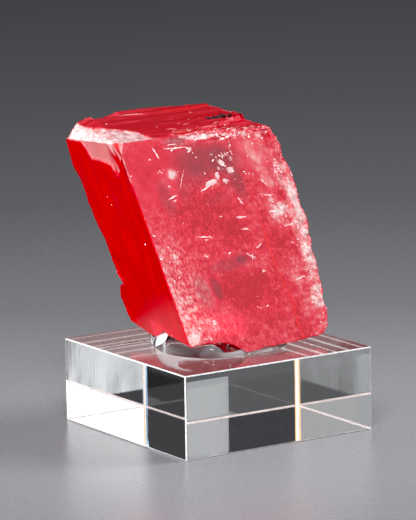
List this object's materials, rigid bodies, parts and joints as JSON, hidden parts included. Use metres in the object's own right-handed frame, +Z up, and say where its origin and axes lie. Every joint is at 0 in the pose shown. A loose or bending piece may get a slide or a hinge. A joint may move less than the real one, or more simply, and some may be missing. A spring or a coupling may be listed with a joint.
{
  "type": "rhodochrosite mineral specimen on clear display block",
  "caption": "Deep red translucent rhombohedral rhodochrosite cleavage block held by a pad of clear mounting gel on a square clear acrylic display block.",
  "frame": {"origin": "centre of the acrylic block's underside", "axes": "+X along the block's front side, +Y to its back, +Z up; the crystal leans to -X over the block"},
  "size_m": [0.0532, 0.053, 0.0696],
  "materials": {
    "clear_acrylic": "polished clear acrylic with saw-marked sides",
    "clear_gel": "clear, softly glossy gel",
    "rhodochrosite": "vitreous cleavage faces, frosted front, whitish fresh breaks"
  },
  "bodies": {
    "root": {"acrylic_block": "clear_acrylic", "mounting_gel": "clear_gel", "rhodochrosite_crystal": "rhodochrosite"}
  },
  "joints": []
}
